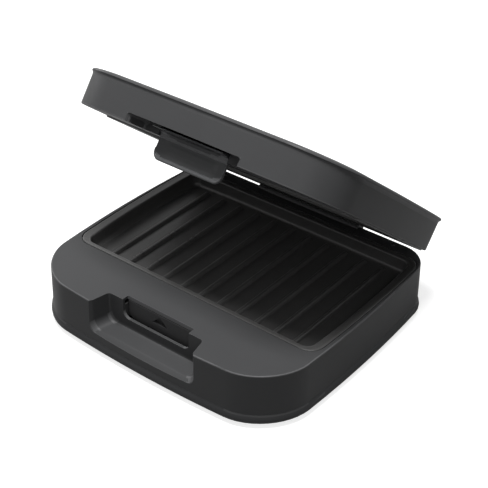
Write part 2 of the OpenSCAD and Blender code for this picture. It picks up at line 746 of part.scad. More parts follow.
module terminal_block() {
    hole_z = 0.4 * block_h;
    color("#e4e1d8") base_frame() translate([0, block_y, -base_h + cover_t + eps]) {
        difference() {
            translate([-1.6 * pole_pitch, -block_d / 2, 0]) cube([3.2 * pole_pitch, block_d, block_h]);
            for (i = [-1:1]) {
                translate([i * pole_pitch, 0, hole_z + 1]) cylinder(r = 2.6, h = block_h, $fn = 24);
                translate([i * pole_pitch, 0, hole_z]) rotate([90, 0, 0])
                    cylinder(r = lead_r + fit, h = block_d + 2 * cut, center = true, $fn = 24);
            }
        }
        // the clamping screws in their wells
        for (i = [-1:1]) translate([i * pole_pitch, 0, hole_z + 1]) difference() {
            cylinder(r = 2.3, h = 3.6, $fn = 24);
            translate([0, 0, 3.6]) cube([5, 0.7, 1.6], center = true);
        }
    }
}

// Insulated wires from the terminal block to the heater and the thermostat
module lower_leads() {
    z = -base_h + cover_t + eps + 0.4 * block_h;
    y0 = block_y - block_d / 2 + 1;
    tab = -lower_depth - plate_t - thermostat_h - 6 - 4 * eps;
    pin = -lower_depth - heater_drop - heater_tip - 3 * eps;
    tab_x = thermostat_r - 2;
    color("#d9d5cb") base_frame() {
        lead([[pole_pitch, y0, z], [pole_pitch, y0 - 7, z], [0.23 * heater_x, y0 - 13, z + 2],
            [0.5 * heater_x, y0 - 19, z + 6], [0.8 * heater_x, plate_y + end_y + 8, z + 7],
            [heater_x - 3, plate_y + end_y + 3, pin - 3.4], [heater_x, plate_y + end_y, pin - 1.6],
            [heater_x, plate_y + end_y, pin]], lead_r);
        lead([[-pole_pitch, y0, z], [-pole_pitch, y0 - 9, z], [1 - pole_pitch, y0 - 17, z + 1],
            [-tab_x - 1, plate_y + 12, tab - 4], [-tab_x, plate_y + 3, tab - 3.4],
            [-tab_x, plate_y, tab - 1.6], [-tab_x, plate_y, tab]], lead_r);
        lead([[tab_x, plate_y, tab], [tab_x, plate_y, tab - 1.6],
            [tab_x + 3, plate_y - 2, tab - 3.6], [0.34 * heater_x, plate_y - 16, tab - 5],
            [0.75 * heater_x, plate_y - 20, pin - 6],
            [heater_x - 3, plate_y - end_y - 3, pin - 3.6], [heater_x, plate_y - end_y, pin - 1.6],
            [heater_x, plate_y - end_y, pin]], lead_r);
    }
}

// Plain bush in the rear wall that the supply cord comes through
module cord_gland() {
    outer = body_d / 2 + flare(gland_z) + fit / 2 + 0.1;
    inner = body_d / 2 + flare(gland_z) - wall - fit;
    r = gland_bore;
    color("#222223") base_frame() translate([-gland_x, 0, -gland_z]) rotate([-90, 0, 0])
        rotate_extrude($fn = 64) polygon([
            [r, inner - 2.5], [r + 4.4, inner - 2.5], [r + 4.9, inner - 2], [r + 4.9, inner],
            [r + 2.9, inner], [r + 2.9, outer], [r + 5.4, outer], [r + 5.4, outer + 1.4],
            [r + 4.6, outer + 2.4], [r + 2.6, outer + 2.8], [r + 1.9, outer + 7],
            [r + 1.2, outer + 7.6], [r, outer + 7.6]
        ]);
}

// A rubber foot with a stem that snaps through the base cover
module foot(sx, sy) {
    r = foot_r;
    stem = r / 3;
    color("#1d1d1e") base_frame() translate([sx * foot_x, sy * foot_y, -base_h])
        rotate_extrude($fn = 48) polygon([
            [0, -foot_h], [r - 1.4, -foot_h], [r - 0.7, 0.6 - foot_h], [r, 1.6 - foot_h],
            [r, 0.7], [stem, 0.7], [stem, cover_t + eps], [stem + 0.9, cover_t + eps],
            [stem + 0.5, cover_t + barb], [0, cover_t + barb + 0.4]
        ]);
}

module front_left_foot() { foot(-1, -1); }
module front_right_foot() { foot(1, -1); }
module back_left_foot() { foot(-1, 1); }
module back_right_foot() { foot(1, 1); }

module base_screws() {
    color("#8f9194") base_frame() for (p = posts)
        translate([p.x, p.y, -base_h + base_cover_h - seat_t - eps]) screw(base_screw_l);
}

// A steel pin held in the base's ear, on which one end of the lid's barrel turns
module hinge_pin(s) {
    length = pin_in + fit + pin_out - eps;
    color("#9a9c9f") base_frame() translate([s * (barrel_w / 2 - pin_in + length / 2), 0, 0])
        x_rod(pin_r, length, hinge_y, hinge_z);
}

module left_hinge_pin() { hinge_pin(-1); }
module right_hinge_pin() { hinge_pin(1); }

// ---------------------------------------------------------------- lid

module lid_housing() {
    top = lid_h - lid_cover_h;
    rebate = rim_t - upper_proud + eps;
    axis_z = hinge_z - lid_gap;
    color("#3b3b3c") lid_frame() difference() {
        union() {
            difference() {
                casing_skin([
                    [0, -edge_r], [0.3 * edge_r, -0.3 * edge_r],
                    [edge_r, flare(edge_r)], [top, flare(top)]
                ]);
                casing_skin([[wall, -wall], [top + cut, flare(top) - wall]]);
            }
            intersection() {
                casing_skin([[edge_r / 2, 0], [top, flare(top)]]);
                union() {
                    mirror([0, 0, 1]) notch(-notch_lid_h - wall, 3 + wall, -wall / 2, wall, 0);
                    slab(plate_outline(-ledge_out - seam, -ledge_out - seam), wall / 2,
                         rebate + ledge_t);
                    translate([-pocket_w / 2 - 3.5, notch_y, wall / 2])
                        cube([pocket_w + 7, pocket_d + 4.6, latch_z + eye_r + 3]);
                    for (p = posts) translate([p.x, p.y, wall / 2])
                        cylinder(r = boss_r, h = head_h + seat_t + 1 - wall / 2, $fn = 32);
                    for (s = [-1, 1])
                        translate([s * (barrel_w + ear_w + 2 * fit) / 2, 0, 0])
                        x_rod(hinge_r + fit + 1.8, ear_w + 4, hinge_y, axis_z);
                }
            }
            x_rod(hinge_r, barrel_w, hinge_y, axis_z);
            along_x(barrel_w) polygon([
                [hinge_y - wall, axis_z], [hinge_y + hinge_r, axis_z],
                [hinge_y + 0.93 * hinge_r, axis_z + 0.4 * hinge_r],
                [hinge_y + flare(12), axis_z + 3.4 * hinge_r],
                [hinge_y - wall, axis_z + 3.4 * hinge_r]
            ]);
        }
        // finger recess and the latch's pocket
        mirror([0, 0, 1]) notch(-notch_lid_h, 3, cut, 0, 0.8);
        translate([-pocket_w / 2 + latch_gap / 2, notch_y - cut, -cut])
            cube([pocket_w - latch_gap, pocket_d + 2.6 + cut, latch_z + eye_r + 1.1 + cut]);
        // plate opening
        slab(plate_outline(-seam, -seam), -cut, rebate);
        slab(plate_outline(ledge_side, ledge_in), -cut, rebate + ledge_t + cut);
        // hinge: room for the base's ears, and the pins' bores
        for (s = [-1, 1]) translate([s * (barrel_w + ear_w + 2 * fit) / 2, 0, 0])
            x_rod(hinge_r + fit, ear_w + 2 * fit, hinge_y, axis_z);
        for (s = [-1, 1]) translate([s * barrel_w / 2, 0, 0])
            x_rod(pin_r + run_gap, 2 * (pin_in + pin_out + 1), hinge_y, axis_z);
        x_rod(latch_pin_r + 0.02, pocket_w + 4, latch_y, latch_z);
        for (p = posts) translate([p.x, p.y, 0]) {
            translate([0, 0, -cut]) cylinder(r = head_r + fit, h = head_h + 1 + cut, $fn = 32);
            cylinder(r = screw_r + 0.5, h = 10, $fn = 24);
        }
    }
}

module lid_cover() {
    top = lid_h - lid_cover_h;
    low = head_h + seat_t + 1 + fit;
    ring = flare(top) - wall - fit;
    color("#2f2f30") lid_frame() difference() {
        union() {
            difference() {
                casing_skin(concat(lid_profile, [
                    [lid_h - 0.1, -3], [lid_h + 0.35 * dome_rise, -8],
                    [lid_h + 0.75 * dome_rise, -22],
                    [lid_h + dome_rise, -45]
                ]));
                casing_skin([
                    [top - cut, flare(top) - wall], [lid_h - cover_t - 1, flare(top) - wall],
                    [lid_h - cover_t, flare(top) - wall - 4],
                    [lid_h + dome_rise - cover_t, -46]
                ]);
            }
            difference() {
                slab(casing(ring), top - 3, lid_h - cover_t);
                slab(casing(ring - 1.6), top - 3 - cut, lid_h + cut);
            }
            for (p = posts) translate([p.x, p.y, low])
                cylinder(r = post_r, h = lid_h - cover_t / 2 - low, $fn = 32);
            // standoffs for the lamp board
            for (s = [-1, 1])
                translate([s * (board_w / 2 - 4), -lens_y, lid_h - board_drop])
                cylinder(r = 2.6, h = board_drop - cover_t / 2, $fn = 24);
        }
        for (p = posts) translate([p.x, p.y, low - cut])
            cylinder(r = screw_r + fit / 3, h = 15, $fn = 24);
        for (s = [-1, 1]) translate([s * lens_x, -lens_y, lid_h - 4])
            cylinder(r = lens_r + fit / 2, h = 8, $fn = 40);
    }
}

module upper_plate_frame() {
    lid_frame() translate([0, 0, -upper_proud]) mirror([0, 0, 1]) children();
}

module upper_grill_plate() {
    color("#4a4a4b") upper_plate_frame() grill_plate(upper_depth);
}

module upper_heater() {
    color("#77726a") upper_plate_frame() heater(upper_depth);
}

module upper_reflector() {
    color("#b9bbbd") upper_plate_frame()
        reflector(upper_depth, -rim_t - ledge_t - 2 * eps, 0);
}

module upper_plate_screws() {
    color("#8f9194") upper_plate_frame() plate_screws(upper_depth);
}

// Thermal fuse in its sleeve, held down on the upper reflector by a strap
module thermal_fuse() {
    back = pan_depth(upper_depth) + sheet - upper_proud;
    r = fuse_r;
    color("#cfc9b8") lid_frame() translate([fuse_x, plate_y, back + eps]) {
        translate([0, 0, r]) rotate([0, 90, 0]) cylinder(r = r, h = fuse_l, center = true, $fn = 24);
        translate([0, 0, r]) rotate([0, 90, 0])
            cylinder(r = 0.6, h = 1.8 * fuse_l, center = true, $fn = 16);
        translate([-3, -2.4 * r, 0]) cube([6, 4.8 * r, strap_t]);
        for (s = [-1, 1]) translate([-3, s * (r + strap_t / 2) - strap_t / 2, 0])
            cube([6, strap_t, 2 * r + strap_t / 2]);
        translate([-3, -r - strap_t, 2 * r - 0.1]) cube([6, 2 * (r + strap_t), strap_t]);
    }
}

// Insulated wires from the heater and the fuse to the lamp board
module upper_leads() {
    z = pan_depth(upper_depth) + sheet - upper_proud + fuse_r + eps;
    pin = upper_depth + heater_drop + heater_tip - upper_proud + eps;
    board = lid_h - board_drop - board_t - lead_r - 0.4;
    tail = 0.9 * fuse_l + eps;
    color("#d9d5cb") lid_frame() {
        lead([[fuse_x + tail, plate_y, z], [fuse_x + tail + 4, plate_y, z],
            [0.75 * heater_x, plate_y + 2, z + 2], [heater_x - 8, plate_y + end_y - 2, pin + 1.8],
            [heater_x - 2, plate_y + end_y, pin + 2], [heater_x, plate_y + end_y, pin + 1.2],
            [heater_x, plate_y + end_y, pin]], lead_r);
        lead([[fuse_x - tail, plate_y, z], [fuse_x - tail - 5, plate_y, z],
            [-0.07 * heater_x, plate_y - 8, z], [-0.16 * heater_x, 0.2 * front_y, z],
            [-0.2 * heater_x, 0.5 * front_y, z], [-lens_x - 7, 14 - lens_y, board - 1],
            [-lens_x - 4, 4 - lens_y, board], [-lens_x - 4, -lens_y, board]], lead_r);
        lead([[heater_x, plate_y - end_y, pin], [heater_x, plate_y - end_y, pin + 1.2],
            [heater_x - 2, plate_y - end_y - 1, pin + 2],
            [0.8 * heater_x, 0.05 * front_y, z + 3], [0.45 * heater_x, 0.32 * front_y, z],
            [0.23 * heater_x, 0.55 * front_y, z], [lens_x + 5, 14 - lens_y, board - 1],
            [lens_x + 4, 4 - lens_y, board], [lens_x + 4, -lens_y, board]], lead_r);
    }
}

// A domed indicator lens that shines through the lid cover
module lens(s) {
    r = lens_r;
    seat = lid_h - cover_t + dome_rise * (lens_inset - lens_r - 7) / 40 - eps;
    lid_frame() translate([s * lens_x, -lens_y, seat]) rotate_extrude($fn = 40) polygon([
        [0, -0.8], [r + 0.9, -0.8], [r + 0.9, 0], [r, 0], [r, cover_t + 0.4],
        [0.86 * r, cover_t + 0.7], [0.55 * r, cover_t + 0.9], [0, cover_t + 1]
    ]);
}

module power_lens() { color("#b3261e") lens(-1); }
module ready_lens() { color("#2f8f46") lens(1); }

// Circuit board with the two neon lamps behind the lenses
module lamp_board() {
    color("#7a6a3a") lid_frame() translate([0, -lens_y, lid_h - board_drop - eps]) {
        difference() {
            translate([-board_w / 2, -board_d / 2, -board_t]) cube([board_w, board_d, board_t]);
            for (s = [-1, 1]) translate([s * (board_w / 2 - 4), 0, -board_t - cut])
                cylinder(r = 1.2, h = board_t + 2 * cut, $fn = 24);
        }
        for (s = [-1, 1]) translate([s * lens_x, 0, -0.2]) {
            cylinder(r = 2.1, h = 3.2, $fn = 24);
            translate([0, 0, 3.2]) sphere(r = 1.2, $fn = 24);
        }
    }
}

module lid_screws() {
    color("#8f9194") lid_frame() for (p = posts)
        translate([p.x, p.y, head_h + 1 - eps]) screw(lid_screw_l);
}

module latch_pin() {
    color("#9a9c9f") lid_frame() x_rod(latch_pin_r, pocket_w + 3.6, latch_y, latch_z);
}

// Torsion spring round the latch pin that holds the latch shut
module latch_spring() {
    turns = 6;
    coil_r = latch_pin_r + 0.4 + spring_wire;
    coil = [for (i = [0:10 * turns]) [spring_l * (i / (10 * turns) - 0.5),
        latch_y + coil_r * cos(36 * i - 60), latch_z + coil_r * sin(36 * i - 60)]];
    color("#b4b6b8") lid_frame() lead(coil, spring_wire);
}

// ---------------------------------------------------------------- latch

module latch_clip() {
    low = -latch_drop;
    tip = latch_face - lever_reach;
    nose_top = -catch_top - fit - lid_gap;
    nose_low = -catch_top - catch_h + fit - lid_gap;
    nose_w = catch_w - 1.6 * fit;
    color("#333334") lid_frame() difference() {
        union() {
            intersection() {
                along_x(latch_w) polygon([
                    [latch_back, latch_z], [latch_back, low + 0.8], [latch_back - 0.8, low],
                    [latch_face, low], [latch_face - 0.7, low + 0.7], [latch_face - 0.7, low + 2.2],
                    [latch_face, low + 3], [latch_face, -0.7], [latch_face - 0.5, -0.1],
                    [latch_face - 0.5, 1.6], [latch_face - 1, 2.8], [latch_face - 2.6, 3.9],
                    [latch_face - 5, 4.3], [tip + 0.5, 4.5], [tip, 4.9], [tip, 5.4], [tip + 0.4, 5.7],
                    [latch_face - 2.9, 6.1], [latch_y - 2, latch_z + 2.5], [latch_y, latch_z + 2.5]
                ]);
                skin([
                    at_y(recess(latch_w / 2, low, 6, latch_z + 4), latch_y + 2),
                    at_y(recess(latch_w / 2, low, 6, latch_z + 4), latch_face - 3),
                    at_y(recess(latch_w / 2 + lever_flare, low, 6, latch_z + 4), tip - cut)
                ]);
            }
            x_rod(eye_r, latch_w, latch_y, latch_z);
            // the hook, a wedge that rises towards its top corner
            skin([
                at_y([[-nose_w, nose_low], [nose_w, nose_low], [0, nose_top]],
                     latch_back + hook_reach),
                at_y([[-nose_w, nose_low], [nose_w, nose_low], [0, nose_top]], latch_back - 0.5)
            ]);
        }
        // dished face
        skin([
            at_y(recess(latch_w / 2 - 11, low + 6.6, 3, -4.6), latch_face + 0.55 * latch_t),
            at_y(recess(latch_w / 2 - 8, low + 4.6, 4.6, -2.4), latch_face + 0.36 * latch_t),
            at_y(recess(latch_w / 2 - 5, low + 3.1, 5.6, -0.9), latch_face - 0.02),
            at_y(recess(latch_w / 2 - 5, low + 3.1, 5.6, -0.9), latch_face - 0.7)
        ]);
        // pivot bore and the spring's gap
        x_rod(latch_pin_r + run_gap, latch_w + cut, latch_y, latch_z);
        translate([-spring_l / 2 - 1.5, latch_y - 2.7, latch_z - 3.6])
            cube([spring_l + 3, 7, 7.2]);
    }
}

lower_housing();
base_cover();
latch_receiver();
receiver_screws();
lower_grill_plate();
lower_heater();
lower_reflector();
lower_plate_screws();
thermostat();
terminal_block();
lower_leads();
cord_gland();
front_left_foot();
front_right_foot();
back_left_foot();
back_right_foot();
base_screws();
left_hinge_pin();
right_hinge_pin();
lid_housing();
lid_cover();
upper_grill_plate();
upper_heater();
upper_reflector();
upper_plate_screws();
thermal_fuse();
upper_leads();
power_lens();
ready_lens();
lamp_board();
lid_screws();
latch_pin();
latch_spring();
latch_clip();
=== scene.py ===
import bpy
import bmesh
import json
import math
from mathutils import Matrix, Vector


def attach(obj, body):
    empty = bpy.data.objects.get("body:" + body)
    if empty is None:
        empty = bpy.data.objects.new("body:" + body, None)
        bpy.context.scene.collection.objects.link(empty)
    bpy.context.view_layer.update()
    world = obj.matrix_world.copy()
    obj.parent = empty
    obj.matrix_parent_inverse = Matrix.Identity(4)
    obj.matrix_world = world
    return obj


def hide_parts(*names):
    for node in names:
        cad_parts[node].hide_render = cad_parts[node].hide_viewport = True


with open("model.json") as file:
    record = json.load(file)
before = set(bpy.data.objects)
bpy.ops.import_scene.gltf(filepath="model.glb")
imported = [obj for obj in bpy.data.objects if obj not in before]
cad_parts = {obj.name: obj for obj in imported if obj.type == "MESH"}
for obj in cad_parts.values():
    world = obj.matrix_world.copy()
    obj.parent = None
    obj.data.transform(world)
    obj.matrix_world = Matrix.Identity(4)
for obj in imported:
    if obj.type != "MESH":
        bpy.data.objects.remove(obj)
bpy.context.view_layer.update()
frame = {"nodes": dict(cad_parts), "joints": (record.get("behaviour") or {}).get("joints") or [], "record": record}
nodes = frame["nodes"]

# Lengths are in millimetres and angles in degrees, unless a comment says otherwise
MM = 0.001

HINGE_Y, HINGE_Z = 106.2, -1.8   # the hinge's line, from the base's middle and parting plane
LID_GAP = 1.5                    # gap between the parting planes when the lid is shut
LID_ANGLE = 38.15                # how far the lid is open
hinge_at = next(j for j in frame["joints"] if j["name"] == "lid_hinge")["pos_m"]

# Where the base's parting plane and the opened lid's parting plane lie in the frame
BASE = Matrix.Translation((0, hinge_at[1] - HINGE_Y * MM, hinge_at[2] - HINGE_Z * MM))
LID = (BASE @ Matrix.Translation((0, HINGE_Y * MM, HINGE_Z * MM))
       @ Matrix.Rotation(math.radians(-LID_ANGLE), 4, "X")
       @ Matrix.Translation((0, -HINGE_Y * MM, (LID_GAP - HINGE_Z) * MM)))
FLIP = Matrix.Scale(-1, 4, (0, 0, 1))

# Mouldings
MERGE = 2e-6         # metres within which two corners of a part's faces are one
FLAT_BEND = 0.4      # faces that bend less than this are one face
SHARP_BEND = 32      # edges that bend more than this are softened

# The upper edge of the lid's finger recess, in the lid's own measures
BROW_HALF_W = 52
BROW_FRONT, BROW_BACK = -116, -109.4
BROW_LOW, BROW_HIGH = 4.5, 9.6
BROW_DROP = 2.1                  # how far it turns down at its front
BROW_RUN, BROW_RISE = 2.6, 3.4   # the turn grows over this much forwards and upwards

# Grill plates
PLATE_HALF_W, PLATE_HALF_D = 119.6, 75.2
PLATE_Y = 18.8                   # a plate's middle behind the casing's
PLATE_T = 2.2
PLATE_CORNER, LEAST_CORNER = 12.3, 3.0
PLATE_BOW = 2.2                  # how far the sides bow out at their middle
CORNER_STEPS, SIDE_STEPS = 8, 10
RIM_FRONT, FLOOR_ROUND, RIB_END = 5, 4.2, 2   # what lies between a rib's end and the rim's edge
RIB_PITCH, RIBS_A_SIDE = 18.4, 5
RIB_W, RIB_H = 5.4, 3.1
RIB_TOP = 0.5                    # a rib's top is this share of its foot's width
RIB_SLOPE = 5                    # and this much shorter
RIB_SINK = 0.5                   # how far its foot lies in the plate's floor
RIB_ROUND = 0.75
LOWER_DEPTH, UPPER_DEPTH = 12.5, 8
LOWER_SEAT, UPPER_SEAT = -0.05, -1.25   # the rims' tops above the parting planes

# Latch, in the lid's own measures
LATCH_HALF_W = 31.5
LATCH_FACE, LATCH_BACK, LATCH_LOW = -91.6, -89.2, -17.3
LATCH_CORNER = 6.0
LEVER_FLARE, FLARE_FROM, FLARE_RUN = 1.2, 2, 10.6   # the lever widens towards its tip
DISH_DEEP, DISH_STEPS = 1.3, 11
DISH_TOP, DISH_RIM = -0.95, 3.1         # its upper edge, and its lower one above the tongue's end
DISH_UPPER_EASE, DISH_LOWER_EASE = 0.3, 0.5         # shares of its height
DISH_MARGIN, DISH_SIDE_EASE = 4.6, 7
EYE_Y, EYE_Z, EYE_R = 3.1, 4.5, 3       # the eye round the latch's pin, behind its face
SPRING_GAP_AT, SPRING_GAP = (0, -83.9, 4.5), (11, 7, 7.2)
HOOK_HALF_W, HOOK_LOW, HOOK_TOP = 7.32, -13.5, -7.0
HOOK_ROOT, HOOK_REACH = -89.8, 1.7


# ------------------------------------------------------------------ modelling

def only(piece):
    """Selects one piece alone and makes it the active one."""
    bpy.ops.object.select_all(action="DESELECT")
    piece.select_set(True)
    bpy.context.view_layer.objects.active = piece


def edit(piece, kind="FACE"):
    """Opens a piece in edit mode with nothing selected."""
    only(piece)
    bpy.ops.object.mode_set(mode="EDIT")
    bpy.ops.mesh.select_mode(type=kind)
    bpy.ops.mesh.select_all(action="DESELECT")


def done():
    bpy.ops.object.mode_set(mode="OBJECT")


def pick_faces(piece, rule):
    """Selects the faces of a piece in edit mode that a rule names."""
    mesh = bmesh.from_edit_mesh(piece.data)
    for face in mesh.faces:
        face.select_set(rule(face))
    mesh.select_flush_mode()
    bmesh.update_edit_mesh(piece.data)


def new_piece(name):
    """Names the primitive just added and puts its place into its mesh."""
    piece = bpy.context.active_object
    piece.name = name
    piece.data.name = name
    bpy.ops.object.transform_apply(location=True, rotation=True, scale=True)
    return piece


def new_block(name, at, size):
    """A plain block, with its middle and its size in millimetres."""
    bpy.ops.object.select_all(action="DESELECT")
    bpy.ops.mesh.primitive_cube_add(size=1, location=[v * MM for v in at],
                                    scale=[v * MM for v in size])
    return new_piece(name)


def place(piece, matrix):
    """Moves a piece's mesh, keeping its object at the origin and its faces outwards."""
    piece.data.transform(matrix)
    if matrix.determinant() < 0:
        piece.data.flip_normals()
    return piece


def modify(piece, kind, **settings):
    """Adds a modifier and applies it at once."""
    only(piece)
    modifier = piece.modifiers.new(kind.title(), kind)
    for key, value in settings.items():
        setattr(modifier, key, value)
    bpy.ops.object.modifier_apply(modifier=modifier.name)


def soften(piece, width, segments, bend, **settings):
    """Rounds the edges that bend more than an angle."""
    modify(piece, "BEVEL", width=width * MM, segments=segments, limit_method="ANGLE",
           angle_limit=math.radians(bend), **settings)


def join(parts, name):
    """Joins finished parts into one piece."""
    only(parts[0])
    for part in parts[1:]:
        part.select_set(True)
    bpy.ops.object.join()
    parts[0].name = name
    return parts[0]


def repeat(piece, name):
    """A copy of a piece with a mesh of its own."""
    twin = piece.copy()
    twin.data = piece.data.copy()
    twin.name = name
    bpy.context.scene.collection.objects.link(twin)
    return twin


def loft(name, rings):
    """Extrudes a filled circle ring by ring, and sets each ring to its outline."""
    start_radius, any_step = 0.05, 0.0001   # metres, replaced by the outlines at once
    bpy.ops.object.select_all(action="DESELECT")
    bpy.ops.mesh.primitive_circle_add(vertices=len(rings[0]), radius=start_radius,
                                      fill_type="NGON")
    piece = new_piece(name)
    edit(piece)
    mesh = bmesh.from_edit_mesh(piece.data)
    station = mesh.verts.layers.int.new("station")
    for i, vert in enumerate(mesh.verts):
        vert[station] = i
        vert.co = Vector(rings[0][i]) * MM
    bmesh.update_edit_mesh(piece.data)
    bpy.ops.mesh.select_all(action="SELECT")
    for ring in rings[1:]:
        bpy.ops.mesh.extrude_region_move(TRANSFORM_OT_translate={"value": (0, 0, any_step)})
        mesh = bmesh.from_edit_mesh(piece.data)
        station = mesh.verts.layers.int["station"]
        for vert in mesh.verts:
            if vert.select:
                vert.co = Vector(ring[vert[station]]) * MM
        bmesh.update_edit_mesh(piece.data)
    bpy.ops.mesh.select_all(action="SELECT")
    bpy.ops.mesh.normals_make_consistent(inside=False)
    done()
    return piece


def mark_edges(piece, width, bend):
    """Marks narrow faces that bend away from a neighbour, where the finish paints edge scuffs and a painted
    highlight.
    """
    mesh = bmesh.new()
    mesh.from_mesh(piece.data)
    worn_and_lit = []
    for face in mesh.faces:
        narrow = 2 * face.calc_area() / max(face.calc_perimeter(), 1e-9) < width * MM
        bent = any(len(e.link_faces) == 2 and e.calc_face_angle(0) > math.radians(bend)
                   for e in face.edges)
        worn_and_lit.append(1.0 if narrow and bent else 0.0)
    mesh.free()
    layer = piece.data.attributes.new("edge", "FLOAT", "FACE")
    layer.data.foreach_set("value", worn_and_lit)


def shade(piece, edge_width, edge_bend, smooth_bend, weight=None):
    """Marks a piece's edges and shades it smooth. A weight keeps its broad faces flat."""
    mark_edges(piece, edge_width, edge_bend)
    only(piece)
    bpy.ops.object.shade_smooth_by_angle(angle=math.radians(smooth_bend))
    if weight:
        modify(piece, "WEIGHTED_NORMAL", keep_sharp=True, weight=weight)


def turn_brow_down(piece):
    """Turns the upper edge of the lid's finger recess down into a soft brow over the latch."""
    inside, turn = LID.inverted(), LID.to_3x3()
    edit(piece, "VERT")
    mesh = bmesh.from_edit_mesh(piece.data)
    for vert in mesh.verts:
        at = inside @ vert.co / MM
        if (abs(at.x) < BROW_HALF_W and BROW_FRONT < at.y < BROW_BACK
                and BROW_LOW < at.z < BROW_HIGH):
            out = min(1.0, (BROW_BACK - at.y) / BROW_RUN)
            up = min(1.0, (at.z - BROW_LOW) / BROW_RISE)
            vert.co += turn @ Vector((0, 0, -BROW_DROP * MM * out * up))
    bmesh.update_edit_mesh(piece.data)
    done()


def moulding(node, name, rounding, reshape):
    """A moulded part: the node's form, merged, with its sharp edges softened."""
    piece = repeat(nodes[node], name)
    piece.parent = None
    piece.matrix_world = Matrix.Identity(4)
    edit(piece, "VERT")
    bpy.ops.mesh.select_all(action="SELECT")
    bpy.ops.mesh.remove_doubles(threshold=MERGE)
    bpy.ops.mesh.dissolve_limited(angle_limit=math.radians(FLAT_BEND))
    done()
    if reshape:
        reshape(piece)
    soften(piece, rounding, 2, SHARP_BEND, use_clamp_overlap=True, miter_outer="MITER_ARC")
    shade(piece, 1.3, 14, 30, weight=60)
    return piece


# ------------------------------------------------------------------ outlines

def round_point(cx, cy, r, angle):
    return (cx + r * math.cos(math.radians(angle)), cy + r * math.sin(math.radians(angle)))


def corner(cx, cy, r, start):
    """A quarter circle from an angle on, anticlockwise."""
    return [round_point(cx, cy, r, start + 90 * i / CORNER_STEPS)
            for i in range(CORNER_STEPS + 1)]


def plate_outline(ex, ey):
    """A grill plate's bowed outline, moved in by ex at its sides and ey at front and back."""
    hw, hd = PLATE_HALF_W - ex, PLATE_HALF_D - ey
    r = max(LEAST_CORNER, PLATE_CORNER - min(ex, ey))
    straight = range(1, SIDE_STEPS)
    right = [(hw, -(hd - r) + 2 * (hd - r) * i / SIDE_STEPS) for i in straight]
    left = [(-hw, (hd - r) - 2 * (hd - r) * i / SIDE_STEPS) for i in straight]
    points = (corner(hw - r, r - hd, r, 270) + right + corner(hw - r, hd - r, r, 0)
              + corner(r - hw, hd - r, r, 90) + left + corner(r - hw, r - hd, r, 180))
    return [(x + math.copysign(PLATE_BOW * (1 - (y / hd) ** 2) * (x / hw) ** 2, x), y + PLATE_Y)
            for x, y in points]


def at_height(points, z):
    return [(x, y, z) for x, y in points]


# ------------------------------------------------------------------ grill plates

def cast_rib(length):
    """One rounded rib, drawn lengthwise about the origin with its foot at z = 0."""
    rib = new_block("rib", (0, 0, RIB_H / 2), (RIB_W, length, RIB_H))
    edit(rib)
    pick_faces(rib, lambda face: face.normal.z > 0.9)
    bpy.ops.transform.resize(value=(RIB_TOP, 1 - RIB_SLOPE / length, 1))
    done()
    soften(rib, RIB_ROUND, 3, 30)
    return rib


def grill_plate(name, depth):
    """A die-cast plate, hollow side up, with its rim's top at z = 0 and a bead round it."""
    # Each ring: how far it lies in from the rim's edge, sideways and lengthwise, and its height
    under = [(11.1, 8.6, -depth - PLATE_T), (7.1, 4.6, -depth + 0.4), (5.3, 2.8, -PLATE_T)]
    rim = [(0, 0, -PLATE_T), (0, 0, -1.7), (0.42, 0.42, -1.5), (0.42, 0.42, -0.6),
           (0.5, 0.5, -0.3), (0.7, 0.7, -0.1), (1.0, 1.0, -0.02), (1.4, 1.4, -0.03),
           (1.8, 1.75, -0.15), (2.6, 2.3, -0.36), (5.6, 3.6, -0.46), (6.5, 4.2, -0.5),
           (7.0, 4.6, -0.62), (7.3, 4.9, -0.85), (7.6, 5.2, -1.2), (7.8, 5.4, -1.7)]
    hollow = [(8.3, 5.8, -depth / 2), (8.8, 6.3, -depth + 3), (9.1, 6.6, -depth + 2),
              (9.7, 7.2, -depth + 1.1), (10.6, 8.1, -depth + 0.4), (11.7, 9.2, -depth)]
    plate = loft(name, [at_height(plate_outline(ex, ey), z) for ex, ey, z in under + rim + hollow])
    rib = cast_rib(2 * PLATE_HALF_D - 2 * (RIM_FRONT + FLOOR_ROUND + RIB_END))
    ribs = []
    for i in range(-RIBS_A_SIDE, RIBS_A_SIDE + 1):
        foot = Matrix.Translation((i * RIB_PITCH * MM, PLATE_Y * MM, (-depth - RIB_SINK) * MM))
        ribs.append(place(repeat(rib, "rib_%d" % i), foot))
    bpy.data.objects.remove(rib)
    plate = join([plate] + ribs, name)
    shade(plate, 0.8, 8, 40, weight=60)
    return plate


# ------------------------------------------------------------------ latch

def ease(t):
    """Rises gently from 0 to 1 as t does."""
    t = min(1.0, max(0.0, t))
    return t * t * (3 - 2 * t)


